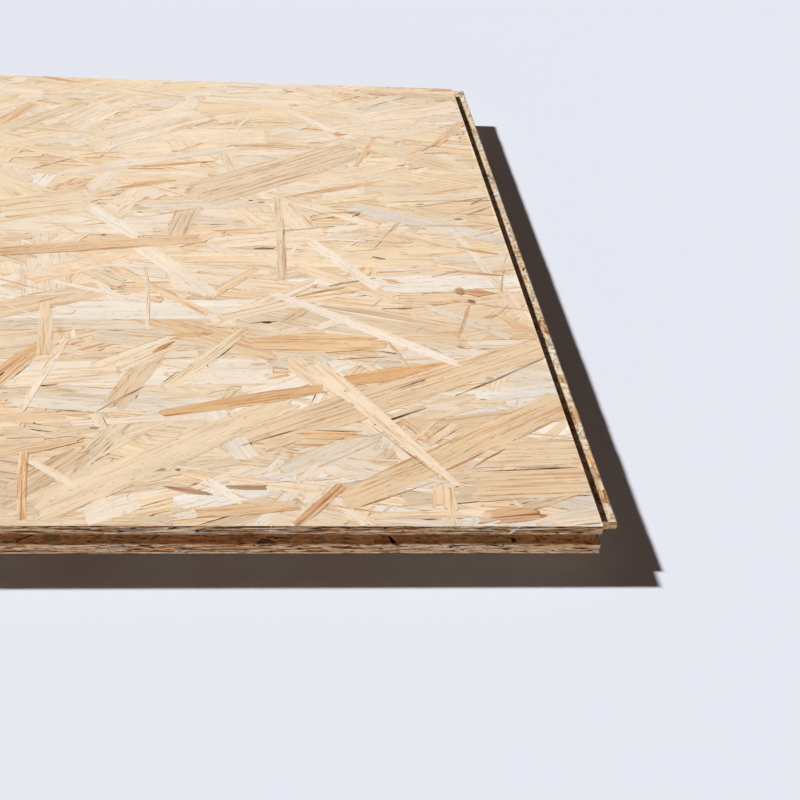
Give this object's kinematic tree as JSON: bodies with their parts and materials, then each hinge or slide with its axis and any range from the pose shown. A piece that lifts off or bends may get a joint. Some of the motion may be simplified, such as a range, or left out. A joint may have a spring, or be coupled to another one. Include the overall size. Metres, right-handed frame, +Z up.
{
  "type": "tongue and groove osb panel",
  "caption": "Flat oriented strand board panel with a tongue on one long edge and one end and a matching groove on the other two.",
  "frame": {"origin": "centre of the bottom face, halfway along the overall length and width with the tongues", "axes": "+X along the board, the way the face strands run, towards the tongued end; +Y across it, towards the tongued long edge; +Z up out of the good face"},
  "size_m": [2.5114, 0.6366, 0.018],
  "materials": {
    "strand_board": "unsanded pressed strands"
  },
  "bodies": {
    "root": {"osb_panel": "strand_board"}
  },
  "joints": []
}
